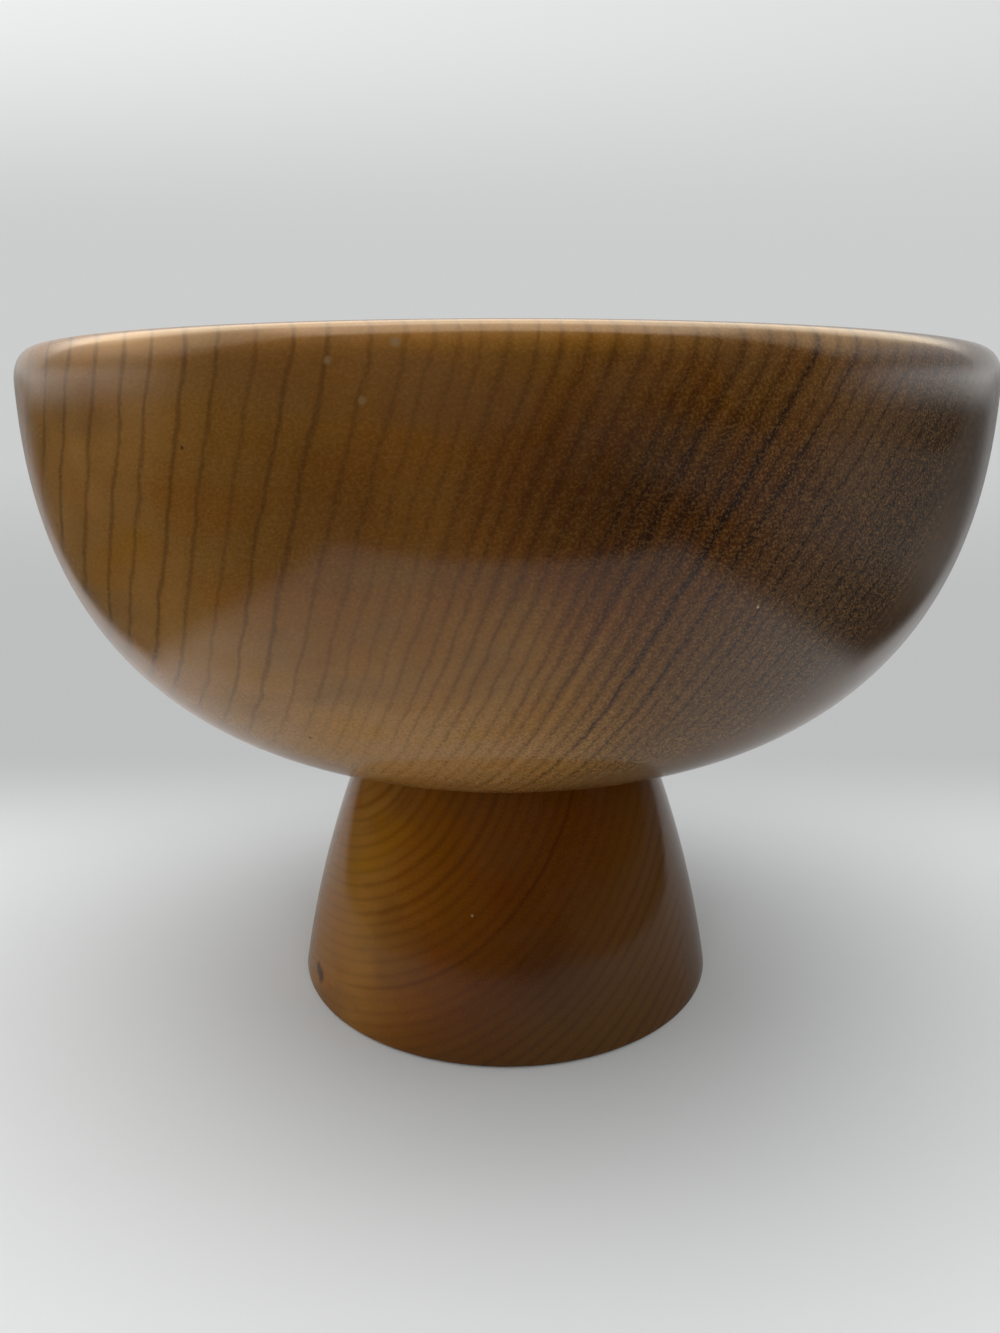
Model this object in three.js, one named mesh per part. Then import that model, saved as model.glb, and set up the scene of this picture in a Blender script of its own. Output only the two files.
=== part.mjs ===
// A wooden bowl on a flared foot, turned as two pieces and joined by a hidden glued dowel.
// Millimetres, +Z up. The origin is the middle of the circle that the foot stands on.

import * as THREE from 'three';

// Bowl
const bowlRadius = 140; // widest outside, just below the rim
const bowlHeight = 121; // from the flat seat underneath to the top of the rim
const bowlWall = 10.5; // at the rim
const bowlFloor = 18; // between the seat and the inside, on the axis
const seatLedge = 3; // flat of the seat that shows round the top of the foot
const rimRise = 9.9; // from the widest place up to the top of the rim
const rimDrop = 6; // from the top of the rim down to the straight of the inside

// Foot
const footHeight = 81.6;
const footBaseRadius = 70.1;
const footTopRadius = 47.5;
const footBelly = 2.4; // how far the flared side swells out past a straight cone
const footEdge = 1.5; // rounding where the side meets the table
const standingRing = 18; // width of the flat that it stands on
const reliefDepth = 4; // shallow hollow turned under the foot, inside the ring

// Dowel
const dowelRadius = 12.5;
const dowelInFoot = 30; // length of the dowel below the glue line
const dowelChamfer = 1;
const dowelCover = 8; // wood left between the dowel's hole and the inside of the bowl

// Clearances of the glued joint
const glueLine = 0.3; // between the foot and the bowl's seat
const dowelFit = 0.3; // all round the dowel
const dowelEndGap = 0.5; // past each end of the dowel

// Shape of the turned curves: 2 is an ellipse, and a larger number is fuller
const outsideFullness = { across: 2.71, up: 2.352 };
const insideFullness = { across: 3, up: 2.7 };
const rimFullness = { across: 2.4, up: 2.4 };
const rimCrest = 2 / 3; // share of the wall that lies outside the top of the rim

// Facets
const turnSteps = 72;
const outsideSteps = 16;
const insideSteps = 14;
const rimSteps = 4;
const sideSteps = 8;
const edgeSteps = 3;

// Places that follow from the sizes
const seatZ = footHeight + glueLine;
const seatRadius = footTopRadius + seatLedge;
const rimZ = seatZ + bowlHeight;
const widestZ = rimZ - rimRise;
const insideTopZ = rimZ - rimDrop;
const insideFloorZ = seatZ + bowlFloor;
const insideRadius = bowlRadius - bowlWall;
const crestRadius = bowlRadius - bowlWall * rimCrest;
const holeRadius = dowelRadius + dowelFit;
const bowlHoleTopZ = insideFloorZ - dowelCover;
const footHoleFloorZ = footHeight - dowelInFoot - dowelEndGap;

// One point of a full quarter curve: angle 0 is its widest place, a quarter turn is its pole.
function fullPoint(centreR, centreZ, radial, axial, fullness, angle) {
  const r = centreR + radial * Math.cos(angle) ** (2 / fullness.across);
  const z = centreZ + axial * Math.sin(angle) ** (2 / fullness.up);
  return [r, z];
}

// Points of a full curve between two angles, both ends included.
function fullCurve(centreR, centreZ, radial, axial, fullness, fromAngle, toAngle, steps) {
  const points = [];
  for (let i = 0; i <= steps; i += 1) {
    const angle = fromAngle + (toAngle - fromAngle) * (i / steps);
    points.push(fullPoint(centreR, centreZ, radial, axial, fullness, angle));
  }
  return points;
}

// Turns a profile of [radius, height] pairs, from axis to axis, into a solid of revolution.
function turned(name, profile, finish) {
  const points = profile.map(([r, z]) => new THREE.Vector2(Math.max(r, 0), z));
  const geometry = new THREE.LatheGeometry(points, turnSteps);
  geometry.rotateX(Math.PI / 2);
  const mesh = new THREE.Mesh(geometry, new THREE.MeshStandardMaterial(finish));
  mesh.name = name;
  return mesh;
}

const quarterTurn = Math.PI / 2;

// The outside runs from the edge of the seat up to the widest place.
function bowlOutside() {
  const seatShare = seatRadius / bowlRadius;
  const seatAngle = Math.acos(seatShare ** (outsideFullness.across / 2));
  const seatReach = Math.sin(seatAngle) ** (2 / outsideFullness.up);
  const depth = (widestZ - seatZ) / seatReach;
  return fullCurve(0, widestZ, bowlRadius, -depth, outsideFullness, seatAngle, 0, outsideSteps);
}

// The rim is a rounded lip: out to its crest, then over and down to the inside.
function bowlRim() {
  const outer = bowlRadius - crestRadius;
  const inner = insideRadius - crestRadius;
  const over = fullCurve(crestRadius, widestZ, outer, rimRise, rimFullness, 0, quarterTurn, rimSteps);
  const down = fullCurve(crestRadius, insideTopZ, inner, rimDrop, rimFullness, quarterTurn, 0, rimSteps);
  return [...over.slice(1), ...down.slice(1)];
}

// The inside runs from the lip down to the middle of the floor.
function bowlInside() {
  const depth = insideTopZ - insideFloorZ;
  const curve = fullCurve(0, insideTopZ, insideRadius, -depth, insideFullness, 0, quarterTurn, insideSteps);
  return curve.slice(1);
}

function makeBowl() {
  const profile = [
    [0, bowlHoleTopZ],
    [holeRadius, bowlHoleTopZ],
    [holeRadius, seatZ],
    ...bowlOutside(),
    ...bowlRim(),
    ...bowlInside(),
  ];
  return turned('bowl', profile, { color: 0x6f4a2a, roughness: 0.34, metalness: 0 });
}

// The flared side of the foot, from the rounded bottom edge to the top.
function footSide() {
  const points = [];
  for (let i = 1; i <= sideSteps; i += 1) {
    const share = i / sideSteps;
    const cone = footBaseRadius + (footTopRadius - footBaseRadius) * share;
    const swell = 4 * footBelly * share * (1 - share);
    points.push([cone + swell, footEdge + (footHeight - footEdge) * share]);
  }
  return points;
}

function footBottomEdge() {
  const centre = footBaseRadius - footEdge;
  const points = [];
  for (let i = 0; i <= edgeSteps; i += 1) {
    const angle = quarterTurn * (i / edgeSteps);
    points.push([centre + footEdge * Math.sin(angle), footEdge - footEdge * Math.cos(angle)]);
  }
  return points;
}

function makePedestal() {
  const reliefRadius = footBaseRadius - footEdge - standingRing;
  const profile = [
    [0, reliefDepth],
    [reliefRadius, reliefDepth],
    [reliefRadius, 0],
    ...footBottomEdge(),
    ...footSide(),
    [holeRadius, footHeight],
    [holeRadius, footHoleFloorZ],
    [0, footHoleFloorZ],
  ];
  return turned('pedestal', profile, { color: 0x7a4a22, roughness: 0.32, metalness: 0 });
}

function makeJointDowel() {
  const bottomZ = footHeight - dowelInFoot;
  const topZ = bowlHoleTopZ - dowelEndGap;
  const profile = [
    [0, bottomZ],
    [dowelRadius - dowelChamfer, bottomZ],
    [dowelRadius, bottomZ + dowelChamfer],
    [dowelRadius, topZ - dowelChamfer],
    [dowelRadius - dowelChamfer, topZ],
    [0, topZ],
  ];
  return turned('joint_dowel', profile, { color: 0xb98d5b, roughness: 0.7, metalness: 0 });
}

const pedestalBowl = new THREE.Group();
pedestalBowl.name = 'pedestal_bowl';
pedestalBowl.add(makePedestal(), makeJointDowel(), makeBowl());

export default pedestalBowl;
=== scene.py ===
# A turned wooden bowl on a flared foot: two lacquered blanks and the dowel that joins them.
# Metres, +Z up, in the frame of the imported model.

import math

import bpy
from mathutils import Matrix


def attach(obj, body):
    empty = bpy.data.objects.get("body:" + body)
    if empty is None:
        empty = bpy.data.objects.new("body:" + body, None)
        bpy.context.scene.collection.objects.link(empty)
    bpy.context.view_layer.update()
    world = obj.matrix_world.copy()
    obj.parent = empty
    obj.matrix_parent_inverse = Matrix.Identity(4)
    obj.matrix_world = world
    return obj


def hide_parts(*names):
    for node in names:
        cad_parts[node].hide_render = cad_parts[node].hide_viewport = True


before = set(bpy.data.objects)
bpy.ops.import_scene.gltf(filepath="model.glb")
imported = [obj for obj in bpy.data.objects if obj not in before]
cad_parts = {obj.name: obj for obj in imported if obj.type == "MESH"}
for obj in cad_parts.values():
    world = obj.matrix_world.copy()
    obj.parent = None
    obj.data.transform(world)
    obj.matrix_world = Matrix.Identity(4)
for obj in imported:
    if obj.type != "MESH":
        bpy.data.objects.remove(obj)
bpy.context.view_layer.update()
print("frame loaded:", sorted(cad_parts))


# Camera, at the photograph's place: a little below the rim, looking down by 14 degrees
cameraSetup = {
    "place": (-0.00194, -0.32405, 0.185),
    "lookDown": 0.244,  # radians below the horizon
    "lens": 26.79,  # millimetres, as is the long side of the sensor
    "sensor": 36,
    "clipStart": 0.01,
}


def makeCamera():
    bpy.ops.object.camera_add(
        location=cameraSetup["place"],
        rotation=(math.pi / 2 - cameraSetup["lookDown"], 0, 0),
    )
    camera = bpy.context.object
    camera.name = "front_camera"
    camera.data.lens = cameraSetup["lens"]
    camera.data.sensor_width = cameraSetup["sensor"]
    camera.data.clip_start = cameraSetup["clipStart"]
    bpy.context.scene.camera = camera


# Modelling helpers
lathe = {
    "mergeDistance": 0.000002,
    "edgeSegments": 3,
    "sharpAngle": 35,  # degrees, past which an edge is eased
    "smoothAngle": 40,
}


def deselectAll():
    bpy.ops.object.select_all(action="DESELECT")


def selectCorners(mesh, wanted):
    # Selects the corners that the test picks, in the mesh that is open for editing
    bpy.ops.mesh.select_mode(type="VERT")
    bpy.ops.mesh.select_all(action="DESELECT")
    bpy.ops.object.mode_set(mode="OBJECT")
    for corner in mesh.vertices:
        corner.select = wanted(corner)
    bpy.ops.object.mode_set(mode="EDIT")


def turnOnLathe(name, outline, steps, edgeRounding):
    # Draws the outline from axis to axis out of one vertex, then spins it round the axis
    deselectAll()
    bpy.ops.mesh.primitive_plane_add(size=0.01, location=(0, 0, 0))
    piece = bpy.context.object
    piece.name = piece.data.name = name
    bpy.ops.object.mode_set(mode="EDIT")
    bpy.ops.mesh.merge(type="CENTER")
    last = (0, 0)
    for radius, height in outline:
        move = (radius - last[0], 0, height - last[1])
        if last == (0, 0):
            bpy.ops.transform.translate(value=move)
        else:
            bpy.ops.mesh.extrude_region_move(TRANSFORM_OT_translate={"value": move})
        last = (radius, height)
    bpy.ops.mesh.select_all(action="SELECT")
    bpy.ops.mesh.spin(steps=steps, angle=math.tau, center=(0, 0, 0), axis=(0, 0, 1))
    bpy.ops.mesh.select_all(action="SELECT")
    bpy.ops.mesh.remove_doubles(threshold=lathe["mergeDistance"])
    bpy.ops.mesh.normals_make_consistent(inside=False)
    bpy.ops.object.mode_set(mode="OBJECT")
    rounding = piece.modifiers.new("eased edges", "BEVEL")
    rounding.width = edgeRounding
    rounding.segments = lathe["edgeSegments"]
    rounding.limit_method = "ANGLE"
    rounding.angle_limit = math.radians(lathe["sharpAngle"])
    bpy.ops.object.modifier_apply(modifier=rounding.name)
    bpy.ops.object.shade_smooth_by_angle(angle=math.radians(lathe["smoothAngle"]))
    print(name, "turned:", len(piece.data.polygons), "faces")
    return piece


def fullPoint(centre, reach, fullness, angle):
    # One point of a full quarter curve: angle 0 is its widest place, a quarter turn its pole
    radius = centre[0] + reach[0] * max(math.cos(angle), 0) ** (2 / fullness[0])
    height = centre[1] + reach[1] * max(math.sin(angle), 0) ** (2 / fullness[1])
    return radius, height


def fullCurve(centre, reach, fullness, start, end, steps):
    spots = [start + (end - start) * i / steps for i in range(steps + 1)]
    return [fullPoint(centre, reach, fullness, angle) for angle in spots]


# Bowl
bowl = {
    "radius": 0.140,
    "seatHeight": 0.0819,
    "seatRadius": 0.0505,
    "widestHeight": 0.193,
    "rimHeight": 0.2029,
    "crestRadius": 0.133,
    "insideRadius": 0.1295,
    "insideTop": 0.1969,
    "insideFloor": 0.0999,
    "holeRadius": 0.0128,
    "holeTop": 0.0919,
    "outsideFullness": (2.71, 2.352),  # across and up: 2 is an ellipse, more is fuller
    "insideFullness": (3, 2.7),
    "rimFullness": (2.4, 2.4),
    "turnSteps": 224,
    "outsideSteps": 56,
    "insideSteps": 44,
    "rimSteps": 10,
    "edgeRounding": 0.0004,
}


def bowlOutline():
    # From the top of the dowel's hole round the outside, the rim and the inside to the axis
    quarter = math.pi / 2
    radius, widest = bowl["radius"], bowl["widestHeight"]
    crest, top = bowl["crestRadius"], bowl["insideTop"]
    seat, rim, lip = bowl["seatHeight"], bowl["rimHeight"], bowl["rimFullness"]
    full = bowl["outsideFullness"]
    seatAngle = math.acos((bowl["seatRadius"] / radius) ** (full[0] / 2))
    depth = (widest - seat) / math.sin(seatAngle) ** (2 / full[1])
    steps = bowl["outsideSteps"]
    outside = fullCurve((0, widest), (radius, -depth), full, seatAngle, 0, steps)
    steps = bowl["rimSteps"]
    over = fullCurve((crest, widest), (radius - crest, rim - widest), lip, 0, quarter, steps)
    drop = (bowl["insideRadius"] - crest, rim - top)
    down = fullCurve((crest, top), drop, lip, quarter, 0, steps)
    hollow = (bowl["insideRadius"], bowl["insideFloor"] - top)
    steps = bowl["insideSteps"]
    inside = fullCurve((0, top), hollow, bowl["insideFullness"], 0, quarter, steps)
    hole, holeTop = bowl["holeRadius"], bowl["holeTop"]
    start = [(0, holeTop), (hole, holeTop), (hole, seat)]
    return start + outside + over[1:] + down[1:] + inside[1:]


# Foot
foot = {
    "height": 0.0816,
    "baseRadius": 0.0701,
    "topRadius": 0.0475,
    "belly": 0.0024,  # how far the side swells out past a straight cone
    "edge": 0.0015,  # rounding where the side meets the table
    "standingRing": 0.018,
    "relief": 0.004,
    "holeRadius": 0.0128,
    "holeFloor": 0.0511,
    "turnSteps": 192,
    "sideSteps": 32,
    "edgeSteps": 6,
    "edgeRounding": 0.0005,
}


def footOutline():
    base, edge, height = foot["baseRadius"], foot["edge"], foot["height"]
    hollow = base - edge - foot["standingRing"]
    outline = [(0, foot["relief"]), (hollow, foot["relief"]), (hollow, 0)]
    for i in range(foot["edgeSteps"] + 1):
        angle = math.pi / 2 * i / foot["edgeSteps"]
        outline.append((base - edge + edge * math.sin(angle), edge - edge * math.cos(angle)))
    for i in range(1, foot["sideSteps"] + 1):
        share = i / foot["sideSteps"]
        cone = base + (foot["topRadius"] - base) * share
        swell = 4 * foot["belly"] * share * (1 - share)
        outline.append((cone + swell, edge + (height - edge) * share))
    hole = foot["holeRadius"]
    return outline + [(hole, height), (hole, foot["holeFloor"]), (0, foot["holeFloor"])]


# Materials
class Wire:
    # Wraps one output socket, so that shader maths is written as a Python expression
    def __init__(self, tree, socket=None):
        self.tree = tree
        self.socket = socket

    def node(self, kind, settings=None, sockets=None, output=None):
        # Adds a node: its settings first, then the values or links of its sockets
        made = self.tree.nodes.new(kind)
        for key, value in (settings or {}).items():
            if key == "stops":
                self.setStops(made.color_ramp, value)
            else:
                setattr(made, key, value)
        for key, value in (sockets or {}).items():
            if isinstance(key, int):
                socket = made.inputs[key]
            else:
                socket = next(s for s in made.inputs if s.name == key and s.enabled)
            if isinstance(value, Wire):
                self.tree.links.new(value.socket, socket)
            else:
                socket.default_value = value
        found = [s for s in made.outputs if s.enabled and output in (None, s.name)]
        return Wire(self.tree, found[0] if found else None)

    def parts(self):
        # The three numbers of a vector
        split = self.node("ShaderNodeSeparateXYZ", None, {"Vector": self})
        return [Wire(self.tree, socket) for socket in split.socket.node.outputs]

    def setStops(self, ramp, stops):
        for i, (spot, colour) in enumerate(stops):
            stop = ramp.elements[i] if i < 2 else ramp.elements.new(spot)
            stop.position = spot
            stop.color = colour

    def other(self, output):
        # Another output of the same node
        return Wire(self.tree, self.socket.node.outputs[output])

    def math(self, operation, *others):
        sockets = dict(enumerate([self, *others]))
        return self.node("ShaderNodeMath", {"operation": operation}, sockets)

    def flipped(self, operation, other):
        return self.node("ShaderNodeMath", {"operation": operation}, {0: other, 1: self})

    def __add__(self, other):
        return self.math("ADD", other)

    def __sub__(self, other):
        return self.math("SUBTRACT", other)

    def __mul__(self, other):
        return self.math("MULTIPLY", other)

    def __truediv__(self, other):
        return self.math("DIVIDE", other)

    def __pow__(self, other):
        return self.math("POWER", other)

    def __rsub__(self, other):
        return self.flipped("SUBTRACT", other)

    __radd__ = __add__
    __rmul__ = __mul__

    def fade(self, low, high):
        # 0 below low, 1 above high, and smooth between; low may be the larger
        settings = {"interpolation_type": "SMOOTHSTEP"}
        sockets = {"Value": self, "From Min": low, "From Max": high}
        return self.node("ShaderNodeMapRange", settings, sockets)

    def within(self, low, high):
        return self.math("MAXIMUM", low).math("MINIMUM", high)

    def away(self, spot):
        # The distance of a place from one spot
        return self.node("ShaderNodeVectorMath", {"operation": "DISTANCE"}, {0: self, 1: spot})

    def noise(self, place, scale, detail=2.0, roughness=0.5):
        sockets = {"Vector": place, "Scale": scale, "Detail": detail, "Roughness": roughness}
        return self.node("ShaderNodeTexNoise", None, sockets)

    def lineNoise(self, spot, scale, detail=1.0):
        # Noise along one number, such as the distance from the heart of the tree
        sockets = {"W": spot, "Scale": scale, "Detail": detail}
        return self.node("ShaderNodeTexNoise", {"noise_dimensions": "1D"}, sockets)

    def mix(self, factor, first, second, blend="MIX"):
        settings = {"data_type": "RGBA", "blend_type": blend, "clamp_factor": True}
        return self.node("ShaderNodeMix", settings, {"Factor": factor, "A": first, "B": second})


def rgb(red, green, blue):
    # A colour written as on a screen, 0 to 255, turned into the shader's linear numbers
    def linear(value):
        share = value / 255
        return share / 12.92 if share <= 0.04045 else ((share + 0.055) / 1.055) ** 2.4

    return linear(red), linear(green), linear(blue), 1


def newMaterial(name):
    material = bpy.data.materials.new(name)
    material.use_nodes = True
    material.node_tree.nodes.clear()
    return material, Wire(material.node_tree)


bowlWood = {
    "heart": (0.1813, 0.2645, 0.0884),  # a point on the heart of the tree, outside the bowl
    "heartTurn": (-92.1, 0, 55.8),  # degrees, turns Z to run along the heart
    "sweep": (-0.6652, 7.2201),  # bend of the heart, per metre
    "taper": 0.6426,
    "ringStart": 0.4219,  # distance from the heart of one ring, where the ring width changes
    "ringWidths": (0.0039, 0.0061),  # nearer to the heart, and further out
    "ringUneven": 0.0018,
    "wobble": ((0.0016, 26, 2), (0.002, 110, 2), (0.00035, 600, 1)),  # amount, scale and detail
    "change": (0.355, 0.43),  # soft close rings up to the first distance, thin sparse ones past it
    "lineWidths": (0.00065, 0.0008),  # in the soft close rings, and in the thin sparse ones
    "lineDepths": (0.56, 0.42),
    "faintRings": (0.366, 0.426, 0.35),  # rings between these distances are fainter, by this share
    "faintBelow": (0.13, 0.105, 0.45),  # so are those between these heights
    "lineColours": (rgb(29, 16, 9), rgb(50, 27, 15)),
    "dipWidth": 0.0021,  # of the soft darker band round each line
    "dipDepths": (0.16, 0.015),
    "oddRings": (  # distance, half width and change of tone of rings that stand out
        (0.3695, 0.0013, 0.05),
        (0.3594, 0.0009, -0.07),
        (0.3642, 0.0008, -0.05),
        (0.3758, 0.0007, -0.05),
    ),
    "fibreTurn": (-95.7, 0, 23.1),  # degrees, turns Z to run along the fibres
    "coarse": (0.315, 0.405),  # distances where the pores are strongest and where they are faint
    "fineAbove": (0.108, 0.135),  # low down they are strong at every distance
    "grit": (0.6, 0.24),  # where the pores are strong, and where they are faint
    "fleck": (0.32, 0.06),
    "pore": (0.3, 0.07),
    "poreColour": rgb(38, 22, 10),
    "fleckColour": rgb(138, 104, 62),
    "level": 0.565,  # tone in the middle: 0 is black, 1 as pale as the wood could be
    "drifts": {  # change of tone: middle, slope, bend, and the lowest and highest place
        "distance": (0.39, 2.7, 0, 0.315, 0.48),
        "height": (0.15, -3.4, 75, 0.106, 0.2),
    },
    "patches": (  # place, radius and change of tone
        ((0.0241, -0.137, 0.1723), 0.024, -0.1),
        ((0.005, -0.137, 0.178), 0.03, -0.03),
        ((-0.0321, -0.1349, 0.1693), 0.014, -0.045),
        ((0.003, -0.131, 0.140), 0.022, 0.06),
        ((-0.0940, -0.1035, 0.186), 0.006, 0.05),
        ((-0.0930, -0.1035, 0.178), 0.006, 0.06),
        ((-0.0915, -0.1035, 0.169), 0.006, 0.05),
        ((-0.048, -0.130, 0.172), 0.034, -0.09),
        ((-0.135, -0.030, 0.165), 0.07, 0.28),
        # The next two are painted highlights, paler at the widest line on the left and the right
        ((-0.078, -0.116, 0.196), 0.02, 0.12),
        ((0.068, -0.122, 0.193), 0.022, 0.1),
        ((-0.010, -0.112, 0.114), 0.04, 0.14),
    ),
    "redder": (  # place, radius and how much redder
        ((-0.030, -0.135, 0.172), 0.06, 0.2),
        ((0.045, -0.130, 0.165), 0.05, 0.17),
        ((-0.135, -0.050, 0.15), 0.1, 0.22),
    ),
    "lip": (0.1955, 0.2012, 0.2),  # heights where the painted light on the rim's top begins and is full, and how much
    "cloudScale": 22,
    "cloudDepth": 0.16,
    "streakDepth": 0.06,  # of the finer change of tone from ring to ring
    "shades": (  # tone and colour
        (0.2, rgb(31, 15, 4)),
        (0.3, rgb(46, 25, 5)),
        (0.4, rgb(61, 34, 7)),
        (0.5, rgb(77, 46, 12)),
        (0.6, rgb(94, 62, 21)),
        (0.7, rgb(110, 76, 32)),
        (0.8, rgb(126, 90, 45)),
        (1.0, rgb(155, 116, 71)),
    ),
    "greyed": (0.362, 0.332, rgb(70, 62, 54)),  # distances where the grey begins and is full
    "greyAmount": 0.4,
    "dulled": rgb(82, 59, 36),
    "dullAmount": 0.4,
    "reddish": rgb(255, 242, 215),  # both multiply the colour, in clouds
    "goldenish": rgb(255, 246, 190),
    "shine": 0.5,  # how strongly the lacquer mirrors
    "marks": (  # place and radius of small flaws, pale or dark
        ((-0.0207, -0.1377, 0.1985), 0.0011, rgb(112, 90, 62)),
        ((-0.0333, -0.1359, 0.1955), 0.0009, rgb(106, 84, 56)),
        ((-0.0270, -0.1373, 0.1884), 0.0009, rgb(104, 82, 54)),
        ((0.0509, -0.1239, 0.1477), 0.0004, rgb(163, 142, 111)),
        ((-0.0647, -0.1238, 0.1796), 0.0005, rgb(45, 21, 12)),
        ((-0.0818, -0.0787, 0.1129), 0.0007, rgb(37, 20, 10)),
        ((-0.0736, -0.0748, 0.1049), 0.0007, rgb(34, 18, 9)),
        ((-0.0462, -0.1038, 0.1130), 0.0006, rgb(45, 25, 12)),
        ((-0.0470, -0.0915, 0.1033), 0.0006, rgb(42, 23, 12)),
        ((0.0563, -0.0946, 0.1095), 0.0006, rgb(39, 23, 13)),
        ((0.0726, -0.0724, 0.1030), 0.0007, rgb(36, 21, 13)),
        ((0.0857, -0.0765, 0.1144), 0.0008, rgb(29, 16, 10)),
    ),
}

footWood = {
    "heart": (-0.0588, 0.0100, 0.0874),  # just inside the left side
    "heartTurn": (-80.9, 0, 177.7),
    "sweep": (0, 0),
    "taper": 0,
    "ringStart": 0.083,
    "ringWidths": (0.0037, 0.0036),
    "ringUneven": 0.002,
    "wobble": ((0.0014, 30, 2), (0.0006, 140, 2), (0.0002, 700, 1)),
    "change": (0.09, 0.12),
    "lineWidths": (0.0009, 0.0009),
    "lineDepths": (0.17, 0.3),
    "faintRings": (0.084, 0.11, 0.4),
    "faintBelow": None,
    "lineColours": (rgb(46, 22, 8), rgb(40, 20, 8)),
    "dipWidth": 0.0018,
    "dipDepths": (0.05, 0.09),
    "oddRings": (
        (0.0315, 0.0012, -0.06),
        (0.0340, 0.0012, 0.05),
        (0.0370, 0.0010, -0.05),
        (0.0612, 0.0012, -0.04),
        (0.0830, 0.0010, -0.04),
    ),
    "fibreTurn": (-80.9, 0, 177.7),
    "coarse": (0.12, 0.09),
    "fineAbove": None,
    "grit": (0.17, 0.14),
    "fleck": (0.06, 0.06),
    "pore": (0.1, 0.12),
    "poreColour": rgb(40, 17, 5),
    "fleckColour": rgb(128, 90, 52),
    "level": 0.58,
    "drifts": {
        "height": (0.04, 1, 0, 0, 0.09),
        # Partly the wood's own tone and partly painted light: paler to the left and towards both
        # edges
        "across": (0, -4.5, 100, -0.054, 0.054),
    },
    "patches": (
        ((0.0140, -0.0640, 0.026), 0.014, -0.09),
        ((0.0260, -0.0600, 0.014), 0.014, -0.08),
        # Partly the wood and partly a painted sheen: paler low on the left side
        ((-0.045, -0.0500, 0.030), 0.022, 0.05),
    ),
    "redder": (),
    "lip": None,
    "cloudScale": 30,
    "cloudDepth": 0.12,
    "streakDepth": 0.05,
    "shades": (
        (0.2, rgb(27, 8, 1)),
        (0.3, rgb(40, 14, 1)),
        (0.4, rgb(55, 23, 2)),
        (0.5, rgb(69, 34, 4)),
        (0.6, rgb(84, 44, 6)),
        (0.7, rgb(98, 54, 8)),
        (0.8, rgb(113, 67, 15)),
        (1.0, rgb(139, 94, 36)),
    ),
    "greyed": (0.085, 0.125, rgb(82, 55, 22)),
    "greyAmount": 0.75,
    "dulled": rgb(80, 50, 24),
    "dullAmount": 0.3,
    "reddish": rgb(255, 238, 200),
    "goldenish": rgb(255, 255, 190),
    "shine": 0.22,
    "marks": (
        ((-0.0606, -0.0328, 0.0082), 0.0028, rgb(60, 30, 12)),
        ((-0.0618, -0.0300, 0.0093), 0.0024, rgb(60, 30, 12)),
        ((-0.0101, -0.0597, 0.0439), 0.0005, rgb(139, 113, 82)),
    ),
}


grain = {  # what both woods share; a noise scale is per metre
    "ringDrift": 90,  # noise scale of the uneven ring widths
    "widthChange": 0.001,  # distance over which one ring width becomes the other
    "ragged": (220, 2),  # noise scale and detail of a line's own uneven width
    "lineCore": 0.1,  # share of a line's width that has its full colour
    "lineStrengths": (0.65, 1),  # of the faintest and the strongest ring
    "dipStrengths": (0.4, 1),
    "faintEdge": 0.003,
    "patchEdge": 1.3,  # a patch fades out at its radius times this
    # Clouds: shift, how far drawn out along the heart, share of the scale, detail, roughness
    "toneClouds": ((0, 0, 0), 2.5, 1, 4, 0.55),
    "hueClouds": ((0.31, 0.2, 0.1), 2, 2, 3, 0.5),
    "dullClouds": ((0.1, 0.3, 0.2), 2.5, 1.4, 4, 0.5),
    "streaks": (150, 3),
    "oddRingCore": 0.2,
    "fibreDrawn": 3.5,
    "gritNoise": ((2200, 2.5, 0.6), (1500, 2, 0.6)),  # fine and coarse
    "gritCoarse": 0.5,  # share of the coarse
    "poreScale": 1400,
    "poreSize": (0.34, 0.12),
    "fleckSize": (0.46, 0.62),
    "lowCoarser": 0.5,  # how much stronger grit and flecks are where the rings are faint low down
    "redFrom": (0.52, 0.7),
    "goldFrom": (0.48, 0.3),
    "dullFrom": (0.5, 0.66),
    "markEdge": (1.2, 0.4),  # where a mark begins and is full, as shares of its radius
    "markDepth": 0.8,
}

lacquer = {  # almost level, with faint marks of the lathe
    "waves": (60, 2, 0.4),  # noise scale, detail and height
    "gritHeight": 0.02,
    "latheMarks": (1500, 2, 0.02),
    "bumpStrength": 0.12,
    "bumpDistance": 0.0006,
    "roughness": 0.11,
    "smears": (45, 3, 0.06),
    "poreRoughness": 0.15,
}


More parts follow.
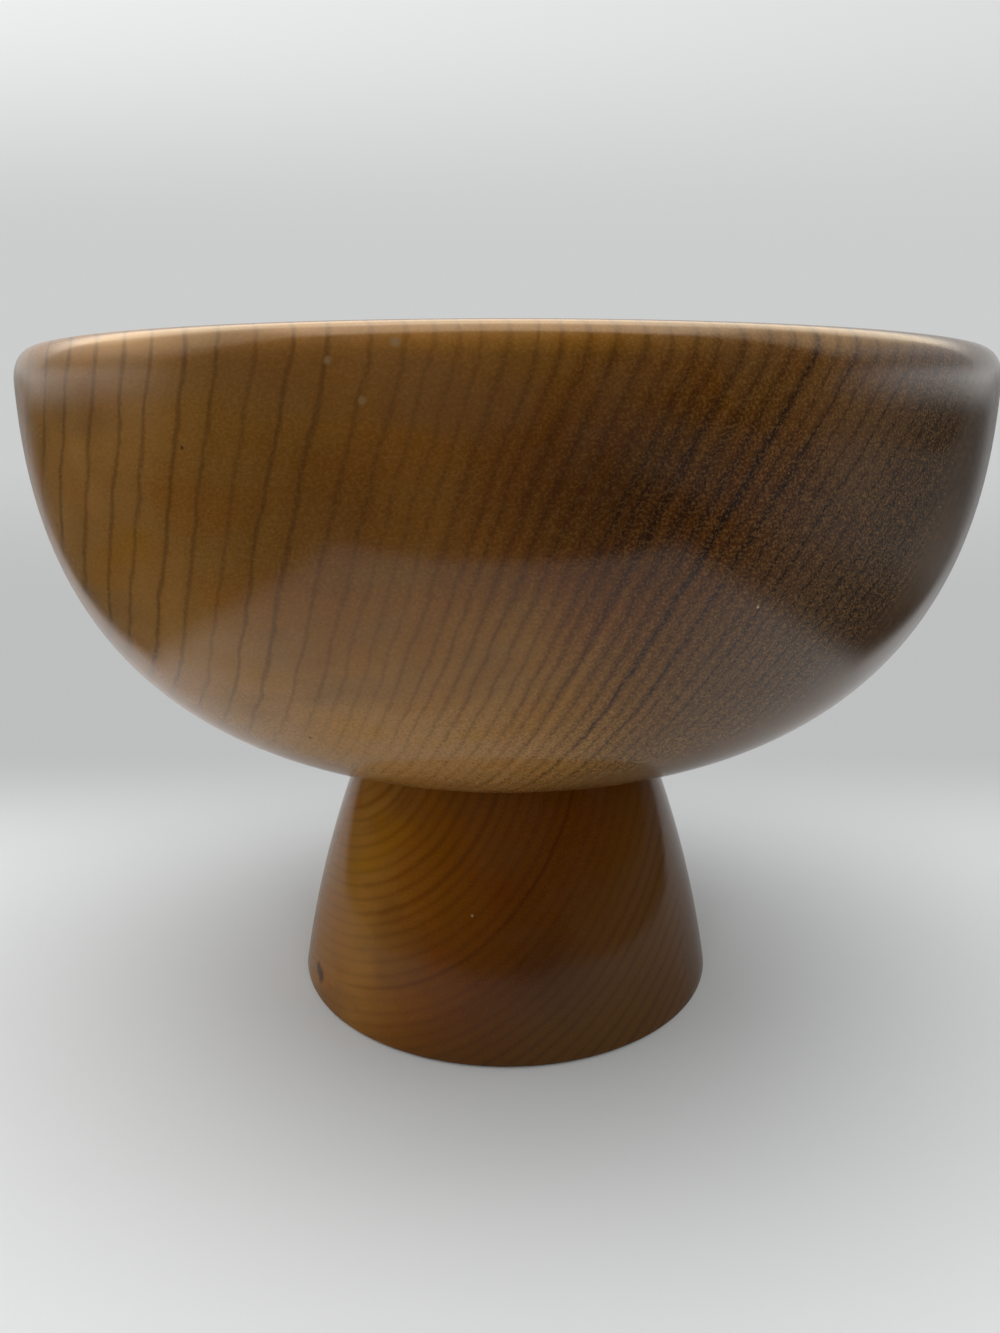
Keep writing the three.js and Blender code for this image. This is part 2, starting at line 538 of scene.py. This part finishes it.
def woodMaterial(name, wood):
    material, start = newMaterial(name)
    place = start.node("ShaderNodeTexCoord", output="Object")
    across, _, height = place.parts()

    def turned(angles, centre=(0, 0, 0), scale=(1, 1, 1)):
        angles = tuple(math.radians(a) for a in angles)
        sockets = {"Vector": place, "Location": centre, "Rotation": angles, "Scale": scale}
        return start.node("ShaderNodeMapping", {"vector_type": "TEXTURE"}, sockets)

    def clouds(shift, drawn, share, detail, roughness):
        spot = turned(wood["heartTurn"], shift, (1, 1, drawn))
        return start.noise(spot, wood["cloudScale"] * share, detail, roughness)

    # Distance from the heart of the tree, which is what the growth rings follow
    aside, up, along = turned(wood["heartTurn"], wood["heart"]).parts()
    aside = aside - along * along * wood["sweep"][0]
    up = up - along * along * wood["sweep"][1]
    distance = (aside * aside + up * up) ** 0.5 + along * wood["taper"]
    for amount, scale, detail in wood["wobble"]:
        distance = distance + (start.noise(place, scale, detail) - 0.5) * amount
    drift = start.lineNoise(distance, grain["ringDrift"]) - 0.5
    distance = distance + drift * wood["ringUneven"]
    outer = distance.fade(*wood["change"])  # 0 in the soft close rings, 1 in the thin sparse ones

    def blend(pair, mask=outer):
        return mask * (pair[1] - pair[0]) + pair[0]

    # Ring number, with one width inside the start ring and another outside it
    inside, outside = wood["ringWidths"]
    past = distance - wood["ringStart"]
    count = past.math("MINIMUM", 0) / inside + past.math("MAXIMUM", 0) / outside
    width = past.fade(0, grain["widthChange"]) * (outside - inside) + inside
    toLine = (0.5 - (count.math("FRACT") - 0.5).math("ABSOLUTE")) * width
    seed = (count + 0.5).math("FLOOR")
    chance = start.node("ShaderNodeTexWhiteNoise", {"noise_dimensions": "1D"}, {"W": seed})

    # A thin dark line at each ring, in a soft dip of the tone, both fainter in places
    first, last, fainter = wood["faintRings"]
    edge = grain["faintEdge"]
    between = distance.fade(first - edge, first) * distance.fade(last + edge, last)
    clear = 1 - between * fainter
    coarser = 1
    if wood["faintBelow"]:
        above, below, fainter = wood["faintBelow"]
        low = height.fade(above, below)
        clear = clear * (1 - low * fainter)
        coarser = low * grain["lowCoarser"] + 1
    thin = blend(wood["lineWidths"]) * (start.noise(place, *grain["ragged"]) + 0.5)
    line = toLine.fade(thin, thin * grain["lineCore"]) * blend(grain["lineStrengths"], chance)
    line = line * blend(wood["lineDepths"]) * clear
    dip = toLine.fade(wood["dipWidth"], 0) * blend(grain["dipStrengths"], chance)
    dip = dip * blend(wood["dipDepths"]) * clear

    # Tone: drifts over the whole blank, then patches, clouds, streaks and rings; some drifts and
    # patches hold painted light
    ways = {"distance": distance, "height": height, "across": across}
    tone = wood["level"]
    for way, (middle, slope, bend, lowest, highest) in wood["drifts"].items():
        reach = ways[way].within(lowest, highest) - middle
        tone = reach * slope + reach * reach * bend + tone
    for spot, radius, change in wood["patches"]:
        tone = tone + place.away(spot).fade(radius * grain["patchEdge"], 0) * change
    tone = tone + (clouds(*grain["toneClouds"]) - 0.5) * wood["cloudDepth"]
    streaks = start.lineNoise(distance, *grain["streaks"])
    tone = tone + (streaks - 0.5) * wood["streakDepth"]
    for spot, reach, change in wood["oddRings"]:
        ring = (distance - spot).math("ABSOLUTE").fade(reach, reach * grain["oddRingCore"])
        tone = tone + ring * change
    tone = tone - dip
    # Painted light: the top of the rim is painted paler, where it faces the light from above
    if wood["lip"]:
        lowest, highest, change = wood["lip"]
        tone = tone + height.fade(lowest, highest) * change

    # Pores and flecks, drawn out along the fibres: dots on end grain, dashes on the sides
    fine = distance.fade(*wood["coarse"])
    if wood["fineAbove"]:
        fine = fine * height.fade(*wood["fineAbove"])
    fibres = turned(wood["fibreTurn"], scale=(1, 1, grain["fibreDrawn"]))
    fineGrit, coarseGrit = (start.noise(fibres, *settings) for settings in grain["gritNoise"])
    grit = fineGrit + (coarseGrit - fineGrit) * grain["gritCoarse"]
    sockets = {"Vector": fibres, "Scale": grain["poreScale"]}
    cells = start.node("ShaderNodeTexVoronoi", None, sockets)
    pore = cells.fade(*grain["poreSize"]) * blend(wood["pore"], fine)
    fleck = grit.fade(*grain["fleckSize"]) * blend(wood["fleck"], fine) * coarser
    tone = tone + (grit - 0.5) * blend(wood["grit"], fine) * coarser

    # Colour
    colour = start.node("ShaderNodeValToRGB", {"stops": wood["shades"]}, {0: tone})
    hue = clouds(*grain["hueClouds"])
    for spot, radius, change in wood["redder"]:
        hue = hue + place.away(spot).fade(radius, 0) * change
    reddened = start.mix(1, colour, wood["reddish"], "MULTIPLY")
    gilded = start.mix(1, colour, wood["goldenish"], "MULTIPLY")
    colour = start.mix(hue.fade(*grain["redFrom"]), colour, reddened)
    colour = start.mix(hue.fade(*grain["goldFrom"]), colour, gilded)
    dull = clouds(*grain["dullClouds"]).fade(*grain["dullFrom"])
    colour = start.mix(dull * wood["dullAmount"], colour, wood["dulled"])
    greyFrom, greyTo, grey = wood["greyed"]
    colour = start.mix(distance.fade(greyFrom, greyTo) * wood["greyAmount"], colour, grey)
    colour = start.mix(line, colour, start.mix(outer, *wood["lineColours"]))
    colour = start.mix(fleck, colour, wood["fleckColour"])
    colour = start.mix(pore, colour, wood["poreColour"])
    begin, full = grain["markEdge"]
    for spot, radius, shade in wood["marks"]:
        mark = place.away(spot).fade(radius * begin, radius * full)
        colour = start.mix(mark * grain["markDepth"], colour, shade)

    scale, detail, amount = lacquer["waves"]
    level = start.noise(place, scale, detail) * amount + grit * lacquer["gritHeight"]
    scale, detail, amount = lacquer["latheMarks"]
    level = level + start.lineNoise(height, scale, detail) * amount
    sockets = {
        "Strength": lacquer["bumpStrength"],
        "Distance": lacquer["bumpDistance"],
        "Height": level,
    }
    bump = start.node("ShaderNodeBump", None, sockets)
    scale, detail, amount = lacquer["smears"]
    smears = start.noise(place, scale, detail) * amount
    sockets = {
        "Base Color": colour,
        "Roughness": smears + pore * lacquer["poreRoughness"] + lacquer["roughness"],
        "Specular IOR Level": wood["shine"],
        "Normal": bump,
    }
    shader = start.node("ShaderNodeBsdfPrincipled", None, sockets)
    start.node("ShaderNodeOutputMaterial", None, {"Surface": shader})
    return material


dowelWood = {
    "pale": rgb(206, 176, 132),
    "dark": rgb(170, 134, 92),
    "grainNoise": (900, 3, 0.6),  # scale, detail and roughness
    "drawn": 6,  # how far drawn out along the dowel
    "darkFrom": (0.35, 0.65),
    "bumpStrength": 0.3,
    "bumpDistance": 0.0003,
    "roughness": (0.6, 0.8),
}


def dowelMaterial():
    material, start = newMaterial("dowel_wood_bare")
    place = start.node("ShaderNodeTexCoord", output="Object")
    sockets = {"Vector": place, "Scale": (1, 1, dowelWood["drawn"])}
    fibres = start.node("ShaderNodeMapping", {"vector_type": "TEXTURE"}, sockets)
    fibre = start.noise(fibres, *dowelWood["grainNoise"])
    colour = start.mix(fibre.fade(*dowelWood["darkFrom"]), dowelWood["pale"], dowelWood["dark"])
    sockets = {
        "Strength": dowelWood["bumpStrength"],
        "Distance": dowelWood["bumpDistance"],
        "Height": fibre,
    }
    bump = start.node("ShaderNodeBump", None, sockets)
    smooth, rough = dowelWood["roughness"]
    sockets = {
        "Base Color": colour,
        "Roughness": fibre * (rough - smooth) + smooth,
        "Normal": bump,
    }
    shader = start.node("ShaderNodeBsdfPrincipled", None, sockets)
    start.node("ShaderNodeOutputMaterial", None, {"Surface": shader})
    return material


print("stage: camera")
makeCamera()

print("stage: pieces")
bowlPiece = turnOnLathe("turned_bowl", bowlOutline(), bowl["turnSteps"], bowl["edgeRounding"])
footPiece = turnOnLathe("turned_foot", footOutline(), foot["turnSteps"], foot["edgeRounding"])

print("stage: materials")
bowlPiece.data.materials.append(woodMaterial("bowl_wood_lacquered", bowlWood))
footPiece.data.materials.append(woodMaterial("foot_wood_lacquered", footWood))
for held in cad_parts["joint_dowel"].material_slots:
    held.material = dowelMaterial()

standIns = ((bowlPiece, "bowl", "bowl_wood"), (footPiece, "pedestal", "pedestal_wood"))
for piece, node, slot in standIns:
    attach(piece, "root")
    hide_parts(node)


# Studio: white paper under a softbox and a weak light from the front. The lacquer mirrors neither
# lamp: it shows one narrow sheet below, a pale panel on each side, a bright top and a dark front
studio = {
    "floorSize": 4.0,
    "backDistance": 1.1,
    "backHeight": 2.4,
    "sweepRadius": 0.6,
    "sweepSegments": 24,
    "panels": {  # only the lacquer mirrors them: distance to the side and glow
        "left_panel": (-0.5, 0.75),
        "right_panel": (0.5, 1.1),
    },
    "lamps": {  # place, target, size and power
        "overhead_softbox": ((-0.09, 0.02, 0.7), (-0.09, 0.02, 0), (0.9, 0.5), 3.1),
        "front_fill": ((0.02, -1, 0.45), (0, 0, 0.12), (1.1, 0.5), 4.3),
    },
    "behindGlow": 0.58,  # how bright the far end of the floor is mirrored
    "mirroredSky": (1.2, 1.6, 3.4),  # at the sides, more overhead, and high up behind
    "mirroredTint": (1, 0.86, 0.66, 1),
}


def makeFloor():
    deselectAll()
    size, back = studio["floorSize"], studio["backDistance"]
    bpy.ops.mesh.primitive_plane_add(size=size, location=(0, back - size / 2, 0))
    floor = bpy.context.object
    floor.name = floor.data.name = "studio_floor"
    bpy.ops.object.transform_apply(location=True)
    bpy.ops.object.mode_set(mode="EDIT")
    near = 0.001
    selectCorners(floor.data, lambda v: v.co.y > back - near)
    rise = (0, 0, studio["backHeight"])
    bpy.ops.mesh.extrude_region_move(TRANSFORM_OT_translate={"value": rise})
    selectCorners(floor.data, lambda v: v.co.y > back - near and v.co.z < near)
    bpy.ops.mesh.bevel(offset=studio["sweepRadius"], segments=studio["sweepSegments"])
    bpy.ops.object.mode_set(mode="OBJECT")
    bpy.ops.object.shade_smooth()
    floor.data.materials.append(paperMaterial())


paper = {
    "colour": (0.71, 0.728, 0.73, 1),
    # As the lacquer mirrors it: a sheet, darker paper beside it and in front of it
    "sheetSide": 0.25,
    "sheetFront": -0.385,
    "sideEdge": 0.03,  # softness of its edges
    "frontEdge": 0.008,
    "spreadFrom": 0.05,  # the sheet widens behind this
    "spread": 0.8,
    "sheetGlow": (0.38, 0.49),  # how bright it is at its front edge and under the bowl
    "glowFrom": (-0.36, -0.1),
    "besideGlow": (0.015, 0.15),  # left and right
    "rightFrom": (0.33, 0.55),
    "farShare": (0.6, 1.3),  # distance behind over distance aside, where the far glow takes over
    "nearestAside": 0.1,
    "standing": (0.2, 0.35),  # heights where it takes over at every distance
    "lofty": (0.7, 1.3),  # heights where it turns to the bright sky
    "loftyColour": (0.985, 1, 0.995, 1),
    # As the camera sees it far away, with painted shade at the bend: how bright at the bend, above
    # it and standing up
    "farGlow": (0.52, 0.61, 0.76),
    "riseHeights": (0, 0.15),
    "standHeights": (0.4, 0.75),
    "standLift": 1.06,
    "paleLeft": 0.11,  # painted light: how much paler it is high up on the left, per metre
    "farFrom": (0.03, 0.22),
}


def paperMaterial():
    # Lit paper, with two exceptions: mirrored in the lacquer it is one narrow sheet, and the
    # camera sees its far end as a glow, with painted shade at the bend and painted light up high
    material, start = newMaterial("studio_paper")
    across, along, height = start.node("ShaderNodeTexCoord", output="Object").parts()
    rays = start.node("ShaderNodeLightPath")
    glossy = rays.other("Is Glossy Ray")
    camera = rays.other("Is Camera Ray")

    aside = across.math("ABSOLUTE")
    spread = (along - paper["spreadFrom"]).math("MAXIMUM", 0) * paper["spread"]
    side, soft = paper["sheetSide"], paper["sideEdge"]
    beside = (aside - spread).fade(side - soft, side + soft)
    front, soft = paper["sheetFront"], paper["frontEdge"]
    outside = beside.math("MAXIMUM", along.fade(front + soft, front - soft))
    low, high = paper["sheetGlow"]
    inner = along.fade(*paper["glowFrom"]) * (high - low) + low
    left, right = paper["besideGlow"]
    outer = across.fade(*paper["rightFrom"]) * (right - left) + left
    mirrored = inner + (outer - inner) * outside
    colour = start.mix(glossy, paper["colour"], mirrored)
    lit = start.node("ShaderNodeBsdfDiffuse", None, {"Color": colour})

    # Painted shade at the bend, painted light higher up and on the left
    bend, rise, stand = paper["farGlow"]
    stand = stand * paper["standLift"] - across * paper["paleLeft"]
    glow = height.fade(*paper["riseHeights"]) * (rise - bend) + bend
    glow = glow + height.fade(*paper["standHeights"]) * (stand - rise)
    behind, high = studio["behindGlow"], studio["mirroredSky"][2]
    lofty = height.fade(*paper["lofty"])
    strength = camera * glow + glossy * (lofty * (high - behind) + behind)
    colour = start.mix(glossy * lofty, paper["loftyColour"], studio["mirroredTint"])
    colour = start.mix(1, colour, strength, "MULTIPLY")
    far = start.node("ShaderNodeEmission", None, {"Color": colour})
    reach = (along / aside.math("MAXIMUM", paper["nearestAside"])).fade(*paper["farShare"])
    standing = height.fade(*paper["standing"]).math("MAXIMUM", lofty)
    reach = glossy * (reach * outside).math("MAXIMUM", standing)
    reach = reach + camera * along.fade(*paper["farFrom"])
    shader = start.node("ShaderNodeMixShader", None, {0: reach, 1: lit, 2: far})
    start.node("ShaderNodeOutputMaterial", None, {"Surface": shader})
    return material


panelShape = {
    "centre": (0.05, 0.3),  # along and height
    "size": (0.3, 0.8),  # height and length
    "lowerEdge": (0.178, 0.222),
    "upperFall": (0.215, 0.29, 0.55),  # heights between which it falls off, and by which share
    "frontEdge": (-0.33, -0.08),
    "backEdge": (0.42, 0.1),
}


def makePanel(name, side, glow):
    # An upright panel beside the bowl, with soft edges: it glows from just under the rim upwards
    deselectAll()
    place = (side, *panelShape["centre"])
    bpy.ops.mesh.primitive_plane_add(size=1, location=place, rotation=(0, math.pi / 2, 0))
    panel = bpy.context.object
    panel.name = panel.data.name = name
    panel.scale = (*panelShape["size"], 1)
    bpy.ops.object.transform_apply(location=True, rotation=True, scale=True)
    material, start = newMaterial(name)
    _, along, height = start.node("ShaderNodeTexCoord", output="Object").parts()
    low, high, share = panelShape["upperFall"]
    shade = height.fade(*panelShape["lowerEdge"]) * (1 - height.fade(low, high) * share)
    shade = shade * along.fade(*panelShape["frontEdge"]) * along.fade(*panelShape["backEdge"])
    light = start.node("ShaderNodeEmission", None, {"Color": (1, 1, 1, 1), "Strength": glow})
    clear = start.node("ShaderNodeBsdfTransparent")
    shader = start.node("ShaderNodeMixShader", None, {0: shade, 1: clear, 2: light})
    start.node("ShaderNodeOutputMaterial", None, {"Surface": shader})
    panel.data.materials.append(material)
    panel.visible_camera = panel.visible_diffuse = panel.visible_shadow = False


def makeLamp(name, place, target, size, power):
    bpy.ops.object.light_add(type="AREA", location=place)
    lamp = bpy.context.object
    lamp.name = name
    lamp.data.shape = "RECTANGLE"
    lamp.data.size, lamp.data.size_y = size
    lamp.data.energy = power
    lamp.visible_camera = False
    lamp.visible_glossy = False
    across, along, up = (t - p for t, p in zip(target, place))
    lean = math.atan2(math.hypot(across, along), -up)
    lamp.rotation_euler = (lean, 0, math.atan2(-across, along))


surroundings = {  # up and ahead are parts of the direction, from -1 to 1
    "background": 0.6,  # what the camera sees past the paper
    "dimmest": 0.02,
    "sideLight": 1.3,
    "sideAhead": (-0.6, -0.25),
    "sideUp": (0.15, 0.5),
    "topLight": 1.0,
    "topUp": (0.93, 0.99),
    "mirroredUp": (0.2, 0.6),  # as the lacquer mirrors them
    "mirroredOverhead": (0.8, 0.9),
    "mirroredAhead": (-0.36, -0.2),
    "highAhead": (0.2, 0.45),
    "highUp": (0.4, 0.7),
    "lowAhead": (0.5, 0.8),
    "lowUp": (0.2, 0.05),
    "tintUp": (0.3, 0.5),
}


def makeWorld():
    # Pale at the sides and behind, bright overhead, dark in front
    world = bpy.data.worlds.new("studio_world")
    bpy.context.scene.world = world
    world.use_nodes = True
    world.node_tree.nodes.clear()
    start = Wire(world.node_tree)
    _, ahead, up = start.node("ShaderNodeTexCoord", output="Generated").parts()
    around = surroundings
    sides = ahead.fade(*around["sideAhead"]) * up.fade(*around["sideUp"]) * around["sideLight"]
    top = up.fade(*around["topUp"]) * around["topLight"]
    light = sides.math("MAXIMUM", top) + around["dimmest"]

    side, overhead, high = studio["mirroredSky"]
    sky = up.fade(*around["mirroredUp"]) * side + up.fade(*around["mirroredOverhead"]) * overhead
    sky = sky * ahead.fade(*around["mirroredAhead"])
    loft = ahead.fade(*around["highAhead"]) * up.fade(*around["highUp"]) * (high - side)
    behind = ahead.fade(*around["lowAhead"]) * up.fade(*around["lowUp"]) * studio["behindGlow"]
    mirrored = sky + loft + behind

    camera = start.node("ShaderNodeLightPath", output="Is Camera Ray")
    glossy = camera.other("Is Glossy Ray")
    strength = light + (around["background"] - light) * camera
    strength = strength + (mirrored - strength) * glossy
    tinted = glossy * up.fade(*around["tintUp"])
    colour = start.mix(tinted, (1, 1, 1, 1), studio["mirroredTint"])
    colour = start.mix(1, colour, strength, "MULTIPLY")
    shader = start.node("ShaderNodeBackground", None, {"Color": colour})
    start.node("ShaderNodeOutputWorld", None, {"Surface": shader})


print("stage: studio")
makeFloor()
for name, (side, glow) in studio["panels"].items():
    makePanel(name, side, glow)
for name, (place, target, size, power) in studio["lamps"].items():
    makeLamp(name, place, target, size, power)
makeWorld()
bpy.context.scene.view_settings.view_transform = "Standard"
